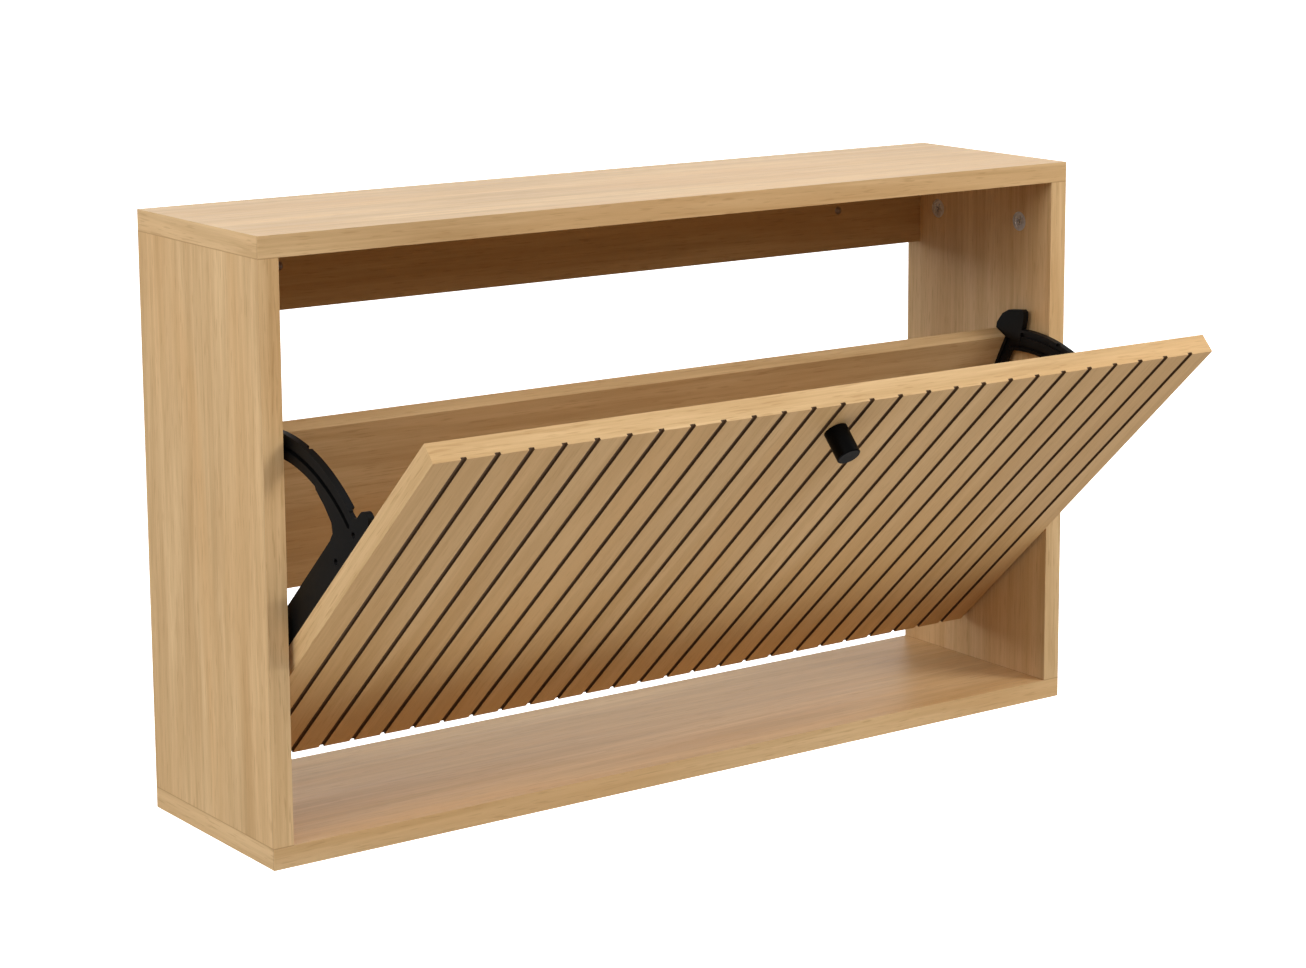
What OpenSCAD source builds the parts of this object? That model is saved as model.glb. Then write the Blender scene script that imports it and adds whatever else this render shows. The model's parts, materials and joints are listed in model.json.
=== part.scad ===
// Wall-hung shoe cabinet with one tilting front.
// Five boards make the case: top, bottom, two sides and a back rail with two wall holes.
// The grooved door, two plastic brackets and a rear board make one tilting tray,
// which turns on two pins low in the side panels and is stopped by an arc slot on two more.
// X is left to right, -Y is the front, +Z is up, and the wall is at y = 0.
// The origin is midway between the two wall holes, on the rail's rear face.

/* [Case] */
// Full width of the cabinet
cabinet_w = 700; // [660:10:1000]
// Full depth, from the wall to the front edges
cabinet_d = 172; // [172:1:220]
// Full height
cabinet_h = 426; // [420:1:480]
// Thickness of the case boards and the door
board_t = 15; // [15:1:18]

/* [Back rail] */
// Height of the rail under the top
rail_h = 63; // [50:1:90]
// Distance between the two wall screws
wall_screw_spacing = 500; // [300:10:560]
// Diameter of a wall screw hole
wall_hole_d = 6.5; // [5:0.5:8]

/* [Door] */
// How far the door stands open, in degrees
open_angle = 47; // [0:1:47]
// Gap on each side of the door
side_gap = 4; // [4:0.5:6]
// Gap between the door and the bottom board when shut
bottom_gap = 7; // [7:0.5:10]
// Gap between the door and the top board when shut
top_gap = 9; // [6:0.5:12]
// Number of grooves in the door's face
groove_count = 26; // [4:2:26]
// Distance between two grooves
groove_pitch = 24.7; // [15:0.1:24.7]
// Width of a groove
groove_w = 4; // [2:0.5:5]
// Depth of a groove
groove_depth = 1.5; // [1:0.5:4]

/* [Knob] */
// Diameter of the knob
knob_d = 17; // [14:1:20]
// Length of the knob
knob_l = 22; // [15:1:35]
// Distance from the door's top edge to the knob's centre
knob_drop = 33.5; // [20:0.5:60]

/* [Rear board] */
// Height of the board behind the shoes
rear_board_h = 142; // [100:1:142]
// Thickness of the board behind the shoes
rear_board_t = 12; // [10:1:12]

/* [Hidden] */
$fn = 64;
cut = 1;                          // how far a cut runs past the face it starts on
loose = 0.05;                     // radial room around a pressed or screwed pin

// case
half_w = cabinet_w / 2;
inner_half = half_w - board_t;    // centre to a side panel's inner face
side_mid = half_w - board_t / 2;  // centre to a side panel's middle plane
wall_hole_z = cabinet_h - board_t - rail_h / 2;
cam_setback = 37;                 // cam centre to the front edge, and to the rear edge
cam_drop = 34;                    // cam centre to the top board's underside
cam_d = 15;
cam_deep = 12.5;
cam_z = cabinet_h - board_t - cam_drop;
joint_ys = [-cabinet_d + cam_setback, -cam_setback];
dowel_d = 8;
dowel_in_face = 10;
dowel_in_edge = 15;
rail_dowel_zs = [wall_hole_z - rail_h / 4, wall_hole_z + rail_h / 4];
base_screw_d = 5;
base_screw_l = 48;

// pivot of the flap, and the door seen from it with the door shut
pivot_setback = 21;               // front edge of the case to the pivot
pivot_y = -cabinet_d + pivot_setback;
pivot_z = board_t + 130;
door_half = inner_half - side_gap;
door_low = board_t + bottom_gap - pivot_z;
door_high = cabinet_h - board_t - top_gap - pivot_z;
door_front = -pivot_setback;
door_back = door_front + board_t;
knob_z = door_high - knob_drop;

// bracket, drawn on the right: outer face at door_half, ribs reaching inwards
web_t = 3;
rib_deep = 5;
web_in = door_half - web_t;
rib_in = door_half - rib_deep;
flange_back = 14.5;               // rear edge of the upright part, from the pivot
flange_low = -38;
flange_high = 150;
tab_w = 12;
tab_top = 165;
foot_t = 3;
foot_w = 18;
arm_in_r = 132;
arm_out_r = 149;
rim_t = 2.5;
slot_r = 140;
slot_half = 1.6;
slot_wall = 1.5;                  // plastic behind and around the slot
guide_pin_d = 3;
travel = 47;
slot_end_shut = 86.6;             // where the guide pin sits in the slot, door shut
slot_end_open = slot_end_shut - travel;
arm_start = 36;
arm_end = 84.5;
rim_gap = [58.3, 59.8];           // where the outer rim is interrupted
boss_r = 11;
side_hole_d = 4.5;
side_holes = [[0.5, 109.3], [0.5, 141.3]];
foot_screw_zs = [-20, 55, 130];
foot_screw_d = 3.5;
foot_screw_l = 12;

// rear board, from its lower front corner, leaning back while the door is shut
board_foot = [70.7, -52.9];
board_lean = 19.1;
lip_w = 9;
ledge_t = 4;
board_screw_us = [30, 80];
board_screw_d = 3;
board_screw_l = 26;

// pins fixed in the side panels
pin_collar_l = side_gap - 0.3;
pivot_pin_d = 8;
pivot_fit = 0.05;                 // radial running room of the bracket on its pin
pin_root_l = 10;

oak = [0.82, 0.67, 0.47];
oak_dark = [0.72, 0.56, 0.38];
black = [0.08, 0.08, 0.08];
zinc = [0.75, 0.75, 0.76];
beech = [0.80, 0.68, 0.52];

// ---------- placing ----------

// Heights are counted from the cabinet's underside and moved to the wall holes here
module case_place() { translate([0, 0, -wall_hole_z]) children(); }

// Flap parts are drawn with the pivot at the origin and the door shut
module flap_place() {
    case_place() translate([0, pivot_y, pivot_z]) rotate([open_angle, 0, 0]) children();
}

module both_sides() {
    children();
    mirror([1, 0, 0]) children();
}

// A profile drawn in (y, z) and given a thickness along X
module slab(x0, x1) {
    translate([x0, 0, 0]) rotate([90, 0, 90]) linear_extrude(height = x1 - x0) children();
}

// A round bar along X at (y, z)
module bar_x(x0, x1, r, y = 0, z = 0) {
    translate([x0, y, z]) rotate([0, 90, 0]) cylinder(h = x1 - x0, r = r);
}

// A round bar along Y at (x, z)
module bar_y(y0, y1, r, x = 0, z = 0) {
    translate([x, y1, z]) rotate([90, 0, 0]) cylinder(h = y1 - y0, r = r);
}

// A round bar along Z at (x, y)
module bar_z(z0, z1, r, x = 0, y = 0) { translate([x, y, z0]) cylinder(h = z1 - z0, r = r); }

// A box given by two opposite corners
module block(a, b) { translate(a) cube(b - a); }

// ---------- case ----------

module lower_and_upper_dowels(grow = 0) {
    both_sides() {
        bar_z(board_t - dowel_in_face - grow, board_t + dowel_in_edge + grow,
              dowel_d / 2 + grow, side_mid, -cabinet_d / 2);
        bar_z(cabinet_h - board_t - dowel_in_edge - grow, cabinet_h - board_t + dowel_in_face + grow,
              dowel_d / 2 + grow, side_mid, -cabinet_d / 2);
    }
}

module rail_end_dowels(grow = 0) {
    both_sides() for (z = rail_dowel_zs)
        bar_x(inner_half - 20 - grow, inner_half + dowel_in_face + grow,
              dowel_d / 2 + grow, -board_t / 2, z);
}

module base_screw_shapes(grow = 0) {
    both_sides() for (y = joint_ys) {
        bar_z(0, base_screw_l + grow, base_screw_d / 2 + grow, side_mid, y);
        translate([side_mid, y, 0]) cylinder(h = 3, r1 = 5 + grow, r2 = base_screw_d / 2 + grow);
    }
}

module cam_bolt_shapes(grow = 0) {
    both_sides() for (y = joint_ys) {
        bar_z(cam_z + 2 - grow, cam_z + 5 + grow, 3.5 + grow, side_mid, y);
        bar_z(cam_z + 4, cabinet_h - board_t, 2.5 + grow, side_mid, y);
        bar_z(cabinet_h - board_t - grow, cabinet_h - board_t + 10 + grow, 3 + grow, side_mid, y);
    }
}

module cam_room() {
    both_sides() for (y = joint_ys) {
        bar_x(inner_half - cut, inner_half + cam_deep, cam_d / 2 + loose, y, cam_z);
        bar_z(cam_z, cabinet_h - board_t + cut, 4, side_mid, y);
    }
}

module pin_roots(grow = 0) {
    both_sides() {
        bar_x(inner_half - cut, inner_half + pin_root_l + grow, 5 + grow, pivot_y, pivot_z);
        bar_x(inner_half - cut, inner_half + pin_root_l + grow, 4 + grow, guide_y(), guide_z());
    }
}

// The guide pin's place on the side panel
function guide_y() = pivot_y + slot_r * cos(slot_end_shut);
function guide_z() = pivot_z + slot_r * sin(slot_end_shut);

module top_panel() {
    color(oak) case_place() difference() {
        block([-half_w, -cabinet_d, cabinet_h - board_t], [half_w, 0, cabinet_h]);
        lower_and_upper_dowels(loose);
        cam_bolt_shapes(loose);
    }
}

module bottom_panel() {
    color(oak) case_place() difference() {
        block([-half_w, -cabinet_d, 0], [half_w, 0, board_t]);
        lower_and_upper_dowels(loose);
        translate([0, 0, -0.01]) base_screw_shapes(loose);
    }
}

module right_side_shape() {
    difference() {
        block([inner_half, -cabinet_d, board_t], [half_w, 0, cabinet_h - board_t]);
        lower_and_upper_dowels(loose);
        rail_end_dowels(loose);
        base_screw_shapes(loose);
        cam_room();
        pin_roots(loose);
    }
}

module right_side_panel() { color(oak) case_place() right_side_shape(); }

module left_side_panel() { color(oak) case_place() mirror([1, 0, 0]) right_side_shape(); }

module back_rail() {
    color(oak_dark) case_place() difference() {
        block([-inner_half, -board_t, cabinet_h - board_t - rail_h],
              [inner_half, 0, cabinet_h - board_t]);
        both_sides() bar_y(-board_t - cut, cut, wall_hole_d / 2, wall_screw_spacing / 2, wall_hole_z);
        rail_end_dowels(loose);
    }
}

module cam_locks() {
    color(zinc) case_place() difference() {
        both_sides() for (y = joint_ys)
            bar_x(inner_half + 0.1, inner_half + cam_deep - 0.2, cam_d / 2, y, cam_z);
        both_sides() for (y = joint_ys) {
            bar_z(cam_z + 1, cam_z + cam_d, 3.8, side_mid, y);
            bar_x(inner_half - cut, inner_half + 0.7, 5.2, y, cam_z);
            for (turn = [20, 110]) translate([inner_half - cut, y, cam_z]) rotate([turn, 0, 0])
                block([0, -3.6, -0.8], [cut + 2.4, 3.6, 0.8]);
        }
    }
}

module cam_bolts() { color(zinc) case_place() cam_bolt_shapes(); }

module panel_dowels() { color(beech) case_place() lower_and_upper_dowels(); }

module rail_dowels() { color(beech) case_place() rail_end_dowels(); }

module base_screws() {
    color(zinc) case_place() difference() {
        base_screw_shapes();
        both_sides() for (y = joint_ys) translate([side_mid, y, -cut])
            cylinder(h = cut + 2, r = 2.2, $fn = 6);
    }
}

module pivot_pins() {
    color(black) case_place() both_sides() {
        bar_x(rib_in + 0.5, inner_half + pin_root_l, pivot_pin_d / 2, pivot_y, pivot_z);
        bar_x(inner_half - pin_collar_l, inner_half, 8, pivot_y, pivot_z);
        bar_x(inner_half - 0.5, inner_half + pin_root_l, 5, pivot_y, pivot_z);
    }
}

module guide_pins() {
    color(black) case_place() both_sides() {
        bar_x(web_in + 0.3, inner_half, guide_pin_d / 2, guide_y(), guide_z());
        bar_x(inner_half - pin_collar_l, inner_half, 6, guide_y(), guide_z());
        bar_x(inner_half - 0.5, inner_half + pin_root_l, 4, guide_y(), guide_z());
    }
}

// ---------- flap ----------

function groove_x(i) = (i - (groove_count - 1) / 2) * groove_pitch;

module door_screw_shapes(grow = 0) {
    both_sides() for (z = foot_screw_zs) {
        bar_y(door_back + foot_t - foot_screw_l, door_back + foot_t + 1, foot_screw_d / 2 + grow,
              door_half - web_t - 8, z);
        bar_y(door_back + foot_t, door_back + foot_t + 2.2, 3.5, door_half - web_t - 8, z);
    }
}

module knob_screw_shape(grow = 0) {
    bar_y(door_front - 12, door_back + 1, 2 + grow, 0, knob_z);
    bar_y(door_back, door_back + 2.5, 4.5, 0, knob_z);
}

module door_panel() {
    color(oak) flap_place() difference() {
        block([-door_half, door_front, door_low], [door_half, door_back, door_high]);
        for (i = [0 : groove_count - 1])
            block([groove_x(i) - groove_w / 2, door_front - cut, door_low - cut],
                  [groove_x(i) + groove_w / 2, door_front + groove_depth, door_high + cut]);
        door_screw_shapes(loose);
        bar_y(door_front - cut, door_back + cut, 2.25, 0, knob_z);
    }
}

// The rear board's own directions: x is its thickness, y runs up the board
module on_board() { translate(board_foot) rotate(-board_lean) children(); }

module board_screw_shapes(grow = 0) {
    both_sides() for (u = board_screw_us) rotate([90, 0, 90]) on_board()
        translate([rear_board_t / 2, u, 0]) {
            translate([0, 0, door_half - board_screw_l])
                cylinder(h = board_screw_l - 0.2, r = board_screw_d / 2 + grow);
            translate([0, 0, door_half - 2.4 - grow])
                cylinder(h = 2.2 + grow, r1 = board_screw_d / 2 + grow, r2 = 3.4 + grow);
        }
}

module rear_board() {
    color(oak_dark) flap_place() difference() {
        slab(-web_in, web_in) on_board() square([rear_board_t, rear_board_h]);
        board_screw_shapes(loose);
    }
}

// A piece of ring about the pivot, from angle a0 up to a1, both under 90 degrees apart
module ring_piece(r0, r1, a0, a1, x0, x1) {
    far = 2 * r1;
    intersection() {
        difference() {
            bar_x(x0, x1, r1, $fn = 180);
            bar_x(x0 - cut, x1 + cut, r0, $fn = 180);
        }
        slab(x0 - cut, x1 + cut) polygon([[0, 0], [far * cos(a0), far * sin(a0)],
            [far * cos((a0 + a1) / 2), far * sin((a0 + a1) / 2)], [far * cos(a1), far * sin(a1)]]);
    }
}

// The arc slot's outline, or one that is larger all round
module slot_shape(grow, x0, x1) {
    ring_piece(slot_r - slot_half - grow, slot_r + slot_half + grow, slot_end_open, slot_end_shut,
               x0, x1);
    for (a = [slot_end_open, slot_end_shut])
        bar_x(x0, x1, slot_half + grow, slot_r * cos(a), slot_r * sin(a));
}

module bracket_shape() {
    difference() {
        union() {
            // upright behind the door, with its foot screwed to the door
            slab(web_in, door_half) polygon([[door_back, flange_low], [flange_back, flange_low],
                [flange_back, 112], [16, 119], [22, 122.9], [35, 122.9], [49, 121], [56, 124],
                [24, 146.5], [9.5, 148.3], [6, 152], [door_back, 152]]);
            slab(rib_in, door_half) polygon([[flange_back - rim_t, flange_low],
                [flange_back, flange_low], [flange_back, 112], [16, 119], [22, 122.9], [35, 122.9],
                [49, 121], [49.5, 124], [35, 125.6], [21, 125.6], [14, 121],
                [flange_back - rim_t, 113]]);
            block([door_half - foot_w, door_back, flange_low],
                  [door_half, door_back + foot_t, flange_high]);
            // rounded tab at its top
            slab(rib_in, door_half) polygon([[door_back, 148], [door_back + tab_w, 148],
                [door_back + tab_w, tab_top - tab_w / 2], [door_back, tab_top - tab_w / 2]]);
            bar_x(rib_in, door_half, tab_w / 2, door_back + tab_w / 2, tab_top - tab_w / 2);
            // arc-shaped arm with two rims, the outer one in two lengths
            ring_piece(arm_in_r, arm_out_r, arm_start, arm_end, web_in, door_half);
            ring_piece(arm_in_r, arm_in_r + rim_t, arm_start, 68, rib_in, door_half);
            ring_piece(arm_out_r - rim_t, arm_out_r, arm_start, rim_gap[0], rib_in, door_half);
            ring_piece(arm_out_r - rim_t, arm_out_r, rim_gap[1], arm_end - 1, rib_in, door_half);
            slot_shape(slot_wall, web_in - slot_wall, door_half - 0.5);
            // head of the arm over the rear board's corner
            slab(rib_in, door_half) polygon([[104, 92], [116.5, 82], [128.9, 77.6], [131.5, 81],
                [132.8, 91], [130.5, 99], [121.5, 111], [118.5, 111.8], [115.5, 109]]);
            // leg along the rear board's end, with a lip in front and a ledge below
            slab(web_in, door_half) on_board()
                translate([-lip_w, -ledge_t]) square([lip_w + rear_board_t, rear_board_h + ledge_t + 2]);
            slab(rib_in, door_half) on_board()
                translate([-rim_t, -ledge_t]) square([rim_t, rear_board_h + ledge_t]);
            slab(rib_in, door_half) on_board()
                translate([-lip_w, -ledge_t]) square([lip_w + rear_board_t, ledge_t]);
            // brace from the leg's foot to the pivot
            slab(web_in, door_half) polygon([[-2, -9], [62, -58], [70, -42], [4, 6]]);
            slab(rib_in, door_half) polygon([[-2, -9], [62, -58], [64, -55], [1, -6]]);
            bar_x(rib_in, door_half, boss_r);
        }
        // the boss is flat where it lies against the door
        block([rib_in - cut, door_back - boss_r, -boss_r], [door_half + cut, door_back, boss_r]);
        slot_shape(0, web_in, door_half + cut);
        bar_x(rib_in - cut, door_half + cut, pivot_pin_d / 2 + pivot_fit);
        for (p = side_holes) bar_x(rib_in - cut, door_half + cut, side_hole_d / 2, p[0], p[1]);
        door_screw_shapes(loose);
        board_screw_shapes(loose);
    }
}

module right_bracket() { color(black) flap_place() bracket_shape(); }

module left_bracket() { color(black) flap_place() mirror([1, 0, 0]) bracket_shape(); }

module door_screws() { color(zinc) flap_place() door_screw_shapes(); }

module board_screws() { color(zinc) flap_place() board_screw_shapes(); }

module knob() {
    color(black) flap_place() difference() {
        union() {
            bar_y(door_front - knob_l + 0.6, door_front, knob_d / 2, 0, knob_z);
            translate([0, door_front - knob_l + 0.6, knob_z]) rotate([90, 0, 0])
                cylinder(h = 0.6, r1 = knob_d / 2, r2 = knob_d / 2 - 0.6);
        }
        bar_y(door_front - 13, door_front + cut, 2 + loose, 0, knob_z);
    }
}

module knob_screw() { color(zinc) flap_place() knob_screw_shape(); }

top_panel();
bottom_panel();
left_side_panel();
right_side_panel();
back_rail();
cam_locks();
cam_bolts();
panel_dowels();
rail_dowels();
base_screws();
pivot_pins();
guide_pins();
door_panel();
rear_board();
left_bracket();
right_bracket();
door_screws();
board_screws();
knob();
knob_screw();
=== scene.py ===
"""A wall-hung shoe cabinet with one grooved flap, standing open, in plain studio light."""
import json
import math

import bpy
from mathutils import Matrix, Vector


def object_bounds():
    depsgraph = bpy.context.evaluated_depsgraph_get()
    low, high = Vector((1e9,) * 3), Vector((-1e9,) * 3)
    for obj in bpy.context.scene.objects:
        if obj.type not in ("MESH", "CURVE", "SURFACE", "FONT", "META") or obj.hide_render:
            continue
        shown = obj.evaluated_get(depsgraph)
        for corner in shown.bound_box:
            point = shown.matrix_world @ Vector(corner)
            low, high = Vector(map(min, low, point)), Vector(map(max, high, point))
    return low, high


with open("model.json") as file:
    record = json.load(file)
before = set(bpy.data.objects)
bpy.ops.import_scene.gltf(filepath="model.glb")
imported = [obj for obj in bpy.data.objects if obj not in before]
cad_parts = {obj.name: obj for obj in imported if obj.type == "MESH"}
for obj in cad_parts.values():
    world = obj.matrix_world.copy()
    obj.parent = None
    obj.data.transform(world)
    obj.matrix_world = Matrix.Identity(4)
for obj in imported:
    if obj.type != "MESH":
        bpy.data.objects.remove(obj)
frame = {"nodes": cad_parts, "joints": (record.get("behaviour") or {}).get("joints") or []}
cad_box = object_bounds()
nodes = frame["nodes"]
low, high = cad_box

# ---------- sizes, in metres ----------

FLAP_OPEN = math.radians(47)          # how far the flap stands open at rest
PIVOT_Y, PIVOT_Z = frame["joints"][0]["pos_m"][1:]
DOOR_FRONT = -0.021                   # the door's face, in front of the pivot when shut
GROOVE_PITCH = 0.0247
GROOVE_WIDTH = 0.004
GROOVE_DEPTH = 0.0015
BOARD = 0.015                         # thickness of the case's boards
SIDE_INNER = 0.335                    # a side panel's inner face, from the middle
SIDE_FRONT = -0.172                   # the front of the case's boards
SEAM_SHADE_HALF = 0.0004                    # half the width of the painted shade line where two boards meet
BAND_INSET = 0.0010                   # how far behind the front an edge band's line runs
BAND_HALF = 0.0005                    # half that line's width
SLACK = 0.0002                        # room so that a mask surely takes in the surface it is for

EDGE_ROUND = 0.0004                   # rounding of a board's edges
DOOR_ROUND = 0.0003                   # the same on the door, kept small for its grooves
PLASTIC_ROUND = 0.0004                # rounding of the brackets' and knob's edges
ROUND_STEPS = 2
SHARP = math.radians(40)              # an edge sharper than this is rounded

FLOOR_DROP = 0.35                     # the cabinet hangs this far above the floor
FAR = 30.0                            # half the width of the floor
WALL_HIGH = 60.0

# ---------- colours and how strongly they show ----------

OAK_LIGHT = (0.76, 0.520, 0.270)
OAK_DARK = (0.55, 0.342, 0.152)
BEECH_LIGHT = (0.62, 0.42, 0.24)
BEECH_DARK = (0.50, 0.32, 0.17)
GROOVE_BROWN = (0.120, 0.064, 0.029)
ZINC_DARK = (0.62, 0.61, 0.60)
ZINC_LIGHT = (0.86, 0.85, 0.84)

# tints, which multiply a colour
PLAIN = (1, 1, 1)
PAINTED_INSIDE_SHADE = (0.79, 0.79, 0.79)           # painted shade: the two boards inside the case, the same foil as the rest, darkened as if in shadow
WARM = (1.0, 0.89, 0.75)              # the warmer patches of the oak
PORE = (0.74, 0.64, 0.50)
# painted shade: the seams where two boards meet are darkened as if by the crease's shadow; the
# edge bands' glue lines share this tint
SEAM_SHADE_AND_GLUE = (0.70, 0.58, 0.45)
PALER_SLAT = (1.08, 0.93, 0.70)
BROWNER_SLAT = (0.93, 0.78, 0.56)

PORE_STRENGTH = 0.34
SLAT_STRENGTH = 0.45
SEAM_SHADE_AND_GLUE_STRENGTH = 0.55
BAND_SHARE = 0.7                      # an edge band's glue line, as a share of the painted shade on the seams
FACES = 0.7                           # a surface faces along an axis past this part of its normal

# ---------- small helpers for node trees ----------


def new_material(name):
    """A new node material, its tree and its shader."""
    mat = bpy.data.materials.new(name)
    mat.use_nodes = True
    tree = mat.node_tree
    return mat, tree, tree.nodes["Principled BSDF"]


def add(tree, kind, **values):
    """A node of that kind, with its inputs set by name."""
    node = tree.nodes.new(kind)
    for key, value in values.items():
        node.inputs[key.replace("_", " ")].default_value = value
    return node


def tinted(colour, tint):
    """The colour with each of its three parts multiplied by the tint's."""
    return tuple(v * t for v, t in zip(colour, tint))


def ramp(tree, source, stops):
    """A colour ramp fed by source, with (place, grey or colour) stops."""
    node = tree.nodes.new("ShaderNodeValToRGB")
    elements = node.color_ramp.elements
    while len(elements) < len(stops):
        elements.new(0.5)
    for element, (place, colour) in zip(elements, stops):
        element.position = place
        if isinstance(colour, (int, float)):
            colour = (colour, colour, colour)
        element.color = (*colour, 1)
    tree.links.new(source, node.inputs["Fac"])
    return node.outputs["Color"]


def mix(tree, factor, a, b):
    """a and b mixed. factor is a socket, and a and b are sockets or colours."""
    node = tree.nodes.new("ShaderNodeMix")
    node.data_type = "RGBA"
    tree.links.new(factor, node.inputs["Factor"])
    for socket, value in ((node.inputs["A"], a), (node.inputs["B"], b)):
        if isinstance(value, bpy.types.NodeSocket):
            tree.links.new(value, socket)
        else:
            socket.default_value = (*value, 1)
    return node.outputs["Result"]


def calc(tree, operation, *values):
    """The answer of a Math node. Each value is a socket or a number."""
    node = tree.nodes.new("ShaderNodeMath")
    node.operation = operation
    for socket, value in zip(node.inputs, values):
        if isinstance(value, bpy.types.NodeSocket):
            tree.links.new(value, socket)
        else:
            socket.default_value = value
    return node.outputs["Value"]


def noise(tree, vector, scale, detail=3.0, roughness=0.5, distortion=0.0):
    """Noise from 0 to 1, about 0.5 on average."""
    node = add(tree, "ShaderNodeTexNoise", Scale=scale, Detail=detail, Roughness=roughness,
               Distortion=distortion)
    tree.links.new(vector, node.inputs["Vector"])
    return node.outputs["Fac"]


def stretched(tree, vector, scale=(1, 1, 1), turn=(0, 0, 0), shift=(0, 0, 0)):
    """vector scaled, then turned, then moved."""
    node = add(tree, "ShaderNodeMapping", Location=shift, Rotation=turn, Scale=scale)
    tree.links.new(vector, node.inputs["Vector"])
    return node.outputs["Vector"]


def parts_of(tree, vector):
    """The X, Y and Z sockets of a vector."""
    parts = tree.nodes.new("ShaderNodeSeparateXYZ")
    tree.links.new(vector, parts.inputs["Vector"])
    return parts.outputs


def near(tree, value, target, reach):
    """1 where value is within reach of target, 0 elsewhere."""
    gap = calc(tree, "ABSOLUTE", calc(tree, "SUBTRACT", value, target))
    return calc(tree, "LESS_THAN", gap, reach)


def bump(tree, shader, height, strength, distance):
    """Fine relief on the shader, at that strength. height 0 to 1 stands for distance metres."""
    node = add(tree, "ShaderNodeBump", Strength=strength, Distance=distance)
    tree.links.new(height, node.inputs["Height"])
    tree.links.new(node.outputs["Normal"], shader.inputs["Normal"])


# ---------- oak laminate ----------


def shut_place(tree, place):
    """Where a point of the flap is with the door shut, counted from the pivot."""
    from_pivot = stretched(tree, place, shift=(0, -PIVOT_Y, -PIVOT_Z))
    return stretched(tree, from_pivot, turn=(-FLAP_OPEN, 0, 0))


def slat_count(tree, x, start):
    """How many groove pitches x lies from the middle, counted from start."""
    return calc(tree, "ADD", calc(tree, "DIVIDE", x, GROOVE_PITCH), start)


def groove_mask(tree, place):
    """1 on the walls and floor of the door's grooves, 0 elsewhere."""
    x, y, _ = parts_of(tree, place)
    # the grooves lie half a pitch either side of the middle slat
    across = calc(tree, "FRACT", slat_count(tree, x, 100.0))
    inside = near(tree, across, 0.5, (GROOVE_WIDTH + SLACK) / 2 / GROOVE_PITCH)
    middle = DOOR_FRONT + GROOVE_DEPTH / 2
    return calc(tree, "MULTIPLY", inside, near(tree, y, middle, GROOVE_DEPTH / 2 + SLACK))


def slat_tone(tree, place):
    """A grey from 0 to 1 that changes from slat to slat of the door."""
    number = calc(tree, "FLOOR", slat_count(tree, parts_of(tree, place)["X"], 100.5))
    random = tree.nodes.new("ShaderNodeTexWhiteNoise")
    random.noise_dimensions = "1D"
    tree.links.new(number, random.inputs["W"])
    return random.outputs["Value"]


def seam_shade_and_glue_mask(tree, place):
    """1 on the lines where the case's boards meet, painted shade in the crease there, less along
    the front edge bands' glue lines, or 0.
    """
    x, y, z = parts_of(tree, place)
    from_middle = calc(tree, "ABSOLUTE", x)
    at_side = calc(tree, "GREATER_THAN", from_middle, SIDE_INNER - SLACK)
    # painted shade along the seams where the side panels meet the top and bottom boards
    joints = [near(tree, z, height, SEAM_SHADE_HALF) for height in (high.z - BOARD, low.z + BOARD)]
    seam_shade_and_glue = calc(tree, "MULTIPLY", at_side, calc(tree, "MAXIMUM", *joints))
    outer = calc(tree, "GREATER_THAN", from_middle, SIDE_INNER + BOARD - SLACK)
    band = calc(tree, "MULTIPLY", outer, near(tree, y, SIDE_FRONT + BAND_INSET, BAND_HALF))
    return calc(tree, "MAXIMUM", seam_shade_and_glue, calc(tree, "MULTIPLY", band, BAND_SHARE))


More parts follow.
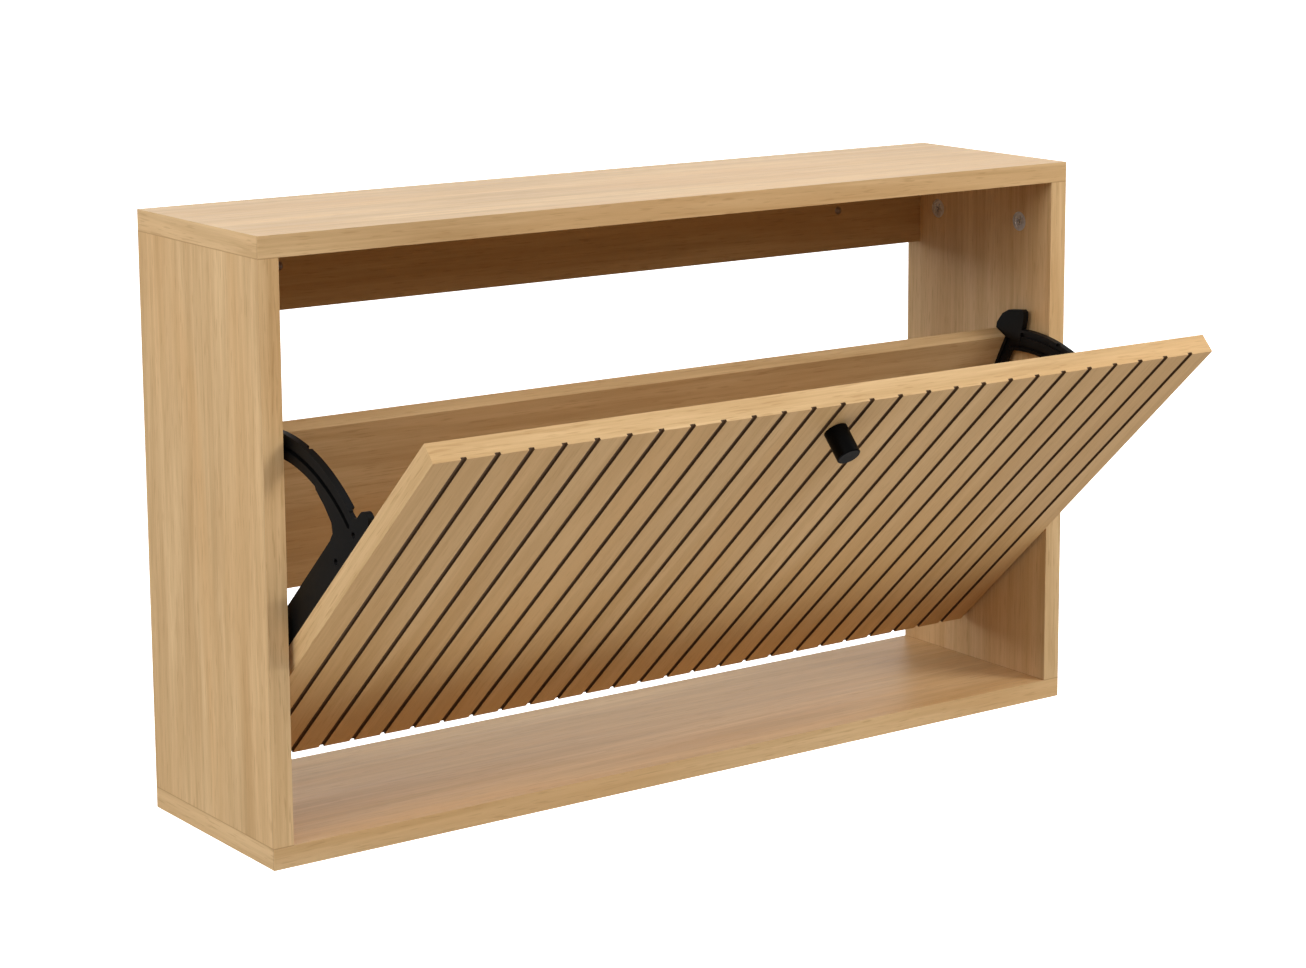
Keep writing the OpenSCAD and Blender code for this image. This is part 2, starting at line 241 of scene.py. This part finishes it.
def oak(name, along, ends, seed, light=OAK_LIGHT, dark=OAK_DARK, flap=False, extra=None,
        tint=PLAIN, shine=0.5):
    """Oak foil: broad figure, streaks, fine fibres, short dark pores and a colour drift.

    along is the grain's way, on a board of the flap with the door shut. The board's end faces
    are banded, with the grain along ends. seed moves the pattern, so that no two finishes match.
    extra is "grooves" or "joints" (painted shade on the seams and the edge bands' glue lines),
    tint is put on both colours, and shine is the specular level.
    """
    mat, tree, shader = new_material(name)
    light, dark = tinted(light, tint), tinted(dark, tint)
    middle = tuple((a + b) / 2 for a, b in zip(light, dark))
    coordinates = tree.nodes.new("ShaderNodeTexCoord").outputs
    place, facing = coordinates["Object"], coordinates["Normal"]
    if flap:
        place = shut_place(tree, place)
        facing = stretched(tree, facing, turn=(-FLAP_OPEN, 0, 0))
    toward_end = calc(tree, "ABSOLUTE", parts_of(tree, facing)[along.upper()])
    on_end = calc(tree, "GREATER_THAN", toward_end, FACES)

    def grain(times):
        """Coordinates in which a pattern is that many times longer than wide."""
        face = [1 if axis == along else times for axis in "xyz"]
        end = [1 if axis == ends else times for axis in "xyz"]
        shift = (seed, seed * 0.7, seed * 1.3)
        return mix(tree, on_end, stretched(tree, place, face, shift=shift),
                   stretched(tree, place, end, shift=shift))

    figure = noise(tree, grain(12), 1.6, detail=3.0, roughness=0.5, distortion=1.6)
    streaks = noise(tree, grain(22), 2.8, detail=4.0, roughness=0.62, distortion=1.2)
    fibres = noise(tree, grain(44), 7.5, detail=6.0, roughness=0.7)
    drift = noise(tree, grain(8), 1.8, detail=2.0, roughness=0.5, distortion=1.0)
    pores = noise(tree, grain(15), 55.0, detail=1.0, roughness=0.4)

    tone = calc(tree, "ADD", calc(tree, "MULTIPLY", figure, 0.32),
                calc(tree, "MULTIPLY", streaks, 0.34))
    tone = calc(tree, "ADD", tone, calc(tree, "MULTIPLY", fibres, 0.34))
    colour = ramp(tree, tone, [(0.40, dark), (0.50, middle), (0.59, light)])
    warmth = ramp(tree, drift, [(0.42, 0.0), (0.70, 0.55)])
    colour = mix(tree, warmth, colour, tinted(middle, WARM))
    pore_mask = ramp(tree, pores, [(0.60, 0.0), (0.70, 1.0)])
    colour = mix(tree, calc(tree, "MULTIPLY", pore_mask, PORE_STRENGTH), colour,
                 tinted(dark, PORE))
    if extra == "grooves":
        slats = ramp(tree, slat_tone(tree, place), [(0.0, tinted(middle, BROWNER_SLAT)),
                                                    (1.0, tinted(middle, PALER_SLAT))])
        on_face = calc(tree, "LESS_THAN", parts_of(tree, facing)["Y"], -FACES)
        colour = mix(tree, calc(tree, "MULTIPLY", on_face, SLAT_STRENGTH), colour, slats)
        colour = mix(tree, groove_mask(tree, place), colour, GROOVE_BROWN)
    if extra == "joints":
        # painted shade on the seams between the boards, plus the edge bands' real glue lines
        seam_shade_and_glue = calc(tree, "MULTIPLY", seam_shade_and_glue_mask(tree, place), SEAM_SHADE_AND_GLUE_STRENGTH)
        colour = mix(tree, seam_shade_and_glue, colour, tinted(dark, SEAM_SHADE_AND_GLUE))
    tree.links.new(colour, shader.inputs["Base Color"])

    tree.links.new(ramp(tree, fibres, [(0.3, 0.38), (0.7, 0.52)]), shader.inputs["Roughness"])
    shader.inputs["Specular IOR Level"].default_value = shine
    relief = calc(tree, "SUBTRACT", calc(tree, "MULTIPLY", fibres, 0.5), pore_mask)
    bump(tree, shader, relief, strength=0.2, distance=0.0002)
    return mat


case_x = oak("oak_along_x", "x", "y", seed=0.0, extra="joints")
case_z = oak("oak_along_z", "z", "y", seed=3.1, extra="joints")
# painted shade: the rail and the rear board get a darker tint, as if shaded inside the case
inner_x = oak("oak_rail", "x", "z", seed=6.4, tint=PAINTED_INSIDE_SHADE, shine=0.15)
rear_x = oak("oak_rear_board", "x", "z", seed=9.7, flap=True, tint=PAINTED_INSIDE_SHADE)
door_z = oak("oak_door", "z", "x", seed=12.9, flap=True, extra="grooves", shine=0.14)
beech = oak("beech_dowel", "x", "y", seed=17.3, light=BEECH_LIGHT, dark=BEECH_DARK)

# ---------- plastic and metal ----------


def black_plastic(name, grey, roughness, shine):
    """Moulded plastic: cloudy black with a fine grain. shine is the specular level."""
    mat, tree, shader = new_material(name)
    place = tree.nodes.new("ShaderNodeTexCoord").outputs["Object"]
    cloud = noise(tree, place, 90.0, detail=4.0, roughness=0.6)
    grain = noise(tree, place, 2600.0, detail=2.0, roughness=0.5)
    colour = ramp(tree, cloud, [(0.3, (grey * 0.8, grey * 0.8, grey * 0.85)),
                                (0.7, (grey * 1.25, grey * 1.25, grey * 1.3))])
    tree.links.new(colour, shader.inputs["Base Color"])
    tree.links.new(ramp(tree, cloud, [(0.3, roughness), (0.7, roughness + 0.12)]),
                   shader.inputs["Roughness"])
    shader.inputs["Specular IOR Level"].default_value = shine
    bump(tree, shader, grain, strength=0.12, distance=0.0001)
    return mat


def zinc_plating(name):
    """Pale zinc plating, cloudy in colour and roughness."""
    mat, tree, shader = new_material(name)
    place = tree.nodes.new("ShaderNodeTexCoord").outputs["Object"]
    cloud = noise(tree, place, 240.0, detail=4.0, roughness=0.6)
    tree.links.new(ramp(tree, cloud, [(0.3, ZINC_DARK), (0.7, ZINC_LIGHT)]),
                   shader.inputs["Base Color"])
    tree.links.new(ramp(tree, cloud, [(0.3, 0.28), (0.7, 0.45)]), shader.inputs["Roughness"])
    shader.inputs["Metallic"].default_value = 0.55
    bump(tree, shader, cloud, strength=0.1, distance=0.0001)
    return mat


bracket_black = black_plastic("bracket_plastic", grey=0.004, roughness=0.42, shine=0.14)
knob_black = black_plastic("knob_plastic", grey=0.001, roughness=0.34, shine=0.07)
zinc = zinc_plating("zinc")

finish = {
    "top_panel": case_x, "bottom_panel": case_x, "left_side_panel": case_z,
    "right_side_panel": case_z, "back_rail": inner_x, "rear_board": rear_x,
    "door_panel": door_z, "left_bracket": bracket_black, "right_bracket": bracket_black,
    "pivot_pins": bracket_black, "guide_pins": bracket_black, "knob": knob_black,
    "cam_locks": zinc, "cam_bolts": zinc, "base_screws": zinc, "door_screws": zinc,
    "board_screws": zinc, "knob_screw": zinc, "panel_dowels": beech, "rail_dowels": beech,
}
for name, mat in finish.items():
    obj = nodes[name]
    obj.data.materials.clear()
    obj.data.materials.append(mat)

# ---------- rounded edges ----------

edge_rounds = {
    "top_panel": EDGE_ROUND, "bottom_panel": EDGE_ROUND, "left_side_panel": EDGE_ROUND,
    "right_side_panel": EDGE_ROUND, "back_rail": EDGE_ROUND, "rear_board": EDGE_ROUND,
    "door_panel": DOOR_ROUND, "left_bracket": PLASTIC_ROUND, "right_bracket": PLASTIC_ROUND,
    "knob": PLASTIC_ROUND,
}
for name, width in edge_rounds.items():
    bevel = nodes[name].modifiers.new("edge_round", "BEVEL")
    bevel.width = width
    bevel.segments = ROUND_STEPS
    bevel.limit_method = "ANGLE"
    bevel.angle_limit = SHARP
    bevel.harden_normals = False

# ---------- floor and backdrop ----------

floor_z = low.z - FLOOR_DROP

pale, pale_tree, pale_shader = new_material("pale_studio")
pale_place = pale_tree.nodes.new("ShaderNodeTexCoord").outputs["Object"]
pale_tree.links.new(
    ramp(pale_tree, noise(pale_tree, pale_place, 3.0), [(0.3, 0.93), (0.7, 0.95)]),
    pale_shader.inputs["Base Color"])
pale_shader.inputs["Roughness"].default_value = 0.9
pale_shader.inputs["Emission Color"].default_value = (1, 1, 1, 1)
pale_shader.inputs["Emission Strength"].default_value = 1.0


def pale_sheet(name, corners, faces):
    """A pale, glowing piece of the studio. The sky lights the cabinet in its place."""
    mesh = bpy.data.meshes.new(name)
    mesh.from_pydata(corners, [], faces)
    sheet = bpy.data.objects.new(name, mesh)
    bpy.context.scene.collection.objects.link(sheet)
    mesh.materials.append(pale)
    sheet.visible_diffuse = False
    sheet.visible_glossy = False
    sheet.visible_shadow = False


ring = [(-FAR, -FAR), (FAR, -FAR), (FAR, FAR), (-FAR, FAR)]
pale_sheet("floor", [(x, y, floor_z) for x, y in ring], [(0, 1, 2, 3)])
pale_sheet("backdrop", [(x, y, z) for z in (floor_z, floor_z + WALL_HIGH) for x, y in ring],
           [(0, 1, 5, 4), (1, 2, 6, 5), (2, 3, 7, 6), (3, 0, 4, 7)])

# ---------- sky ----------

# each stop is a height in the sky, from straight down (0) to straight up (1), and its brightness:
# in front, softboxes above and a white floor below, with a dark room between them
FRONT_SKY = [(0.00, 1.15), (0.10, 0.80), (0.22, 0.25), (0.44, 0.03), (0.60, 0.05), (0.70, 0.95),
             (0.80, 1.10), (0.92, 0.42), (1.00, 0.30)]
# behind, a dark wall and one low bright strip that shines in the top's gloss
BACK_SKY = [(0.00, 0.40), (0.35, 0.10), (0.50, 0.05), (0.53, 1.50), (0.60, 1.50), (0.66, 0.30),
            (1.00, 0.25)]
SKY_STRENGTH = 1.4

world = bpy.data.worlds.new("studio")
bpy.context.scene.world = world
world.use_nodes = True
sky = world.node_tree
_, sky_y, sky_z = parts_of(sky, sky.nodes.new("ShaderNodeTexCoord").outputs["Generated"])
height = calc(sky, "MULTIPLY_ADD", sky_z, 0.5, 0.5)
front_light = ramp(sky, height, FRONT_SKY)
back_light = ramp(sky, height, BACK_SKY)
behind = ramp(sky, sky_y, [(0.0, 0.0), (0.35, 1.0)])
background = sky.nodes["Background"].inputs
sky.links.new(mix(sky, behind, front_light, back_light), background["Color"])
background["Strength"].default_value = SKY_STRENGTH

# ---------- lights and camera ----------


def soft_light(name, place, aim, size, power):
    """A square area light at place, turned towards aim. It leaves no glare in the gloss."""
    data = bpy.data.lights.new(name, "AREA")
    data.shape = "SQUARE"
    data.size = size
    data.energy = power
    lamp = bpy.data.objects.new(name, data)
    lamp.visible_glossy = False
    lamp.location = place
    lamp.rotation_euler = (Vector(aim) - Vector(place)).to_track_quat("-Z", "Y").to_euler()
    bpy.context.scene.collection.objects.link(lamp)


centre = (low + high) / 2
soft_light("left_light", (-2.4, -0.35, 1.3), centre, size=1.6, power=29)
soft_light("front_light", (1.6, -1.8, 1.2), centre, size=0.9, power=29)

CAMERA_PLACE = (-1.318, -1.995, 0.328)
CAMERA_AZIMUTH = math.radians(-36.97)
CAMERA_TILT = math.radians(10)        # how far it looks down
CAMERA_SENSOR = 36                    # in mm, as is the lens
CAMERA_LENS = 88.3
CAMERA_SHIFT = (-0.082, -0.098)

camera_data = bpy.data.cameras.new("camera")
camera_data.sensor_width = CAMERA_SENSOR
camera_data.lens = CAMERA_LENS
camera_data.shift_x, camera_data.shift_y = CAMERA_SHIFT
camera = bpy.data.objects.new("camera", camera_data)
camera.location = CAMERA_PLACE
camera.rotation_euler = (math.pi / 2 - CAMERA_TILT, 0, CAMERA_AZIMUTH)
bpy.context.scene.collection.objects.link(camera)
bpy.context.scene.camera = camera

bpy.context.scene.view_settings.view_transform = "Standard"
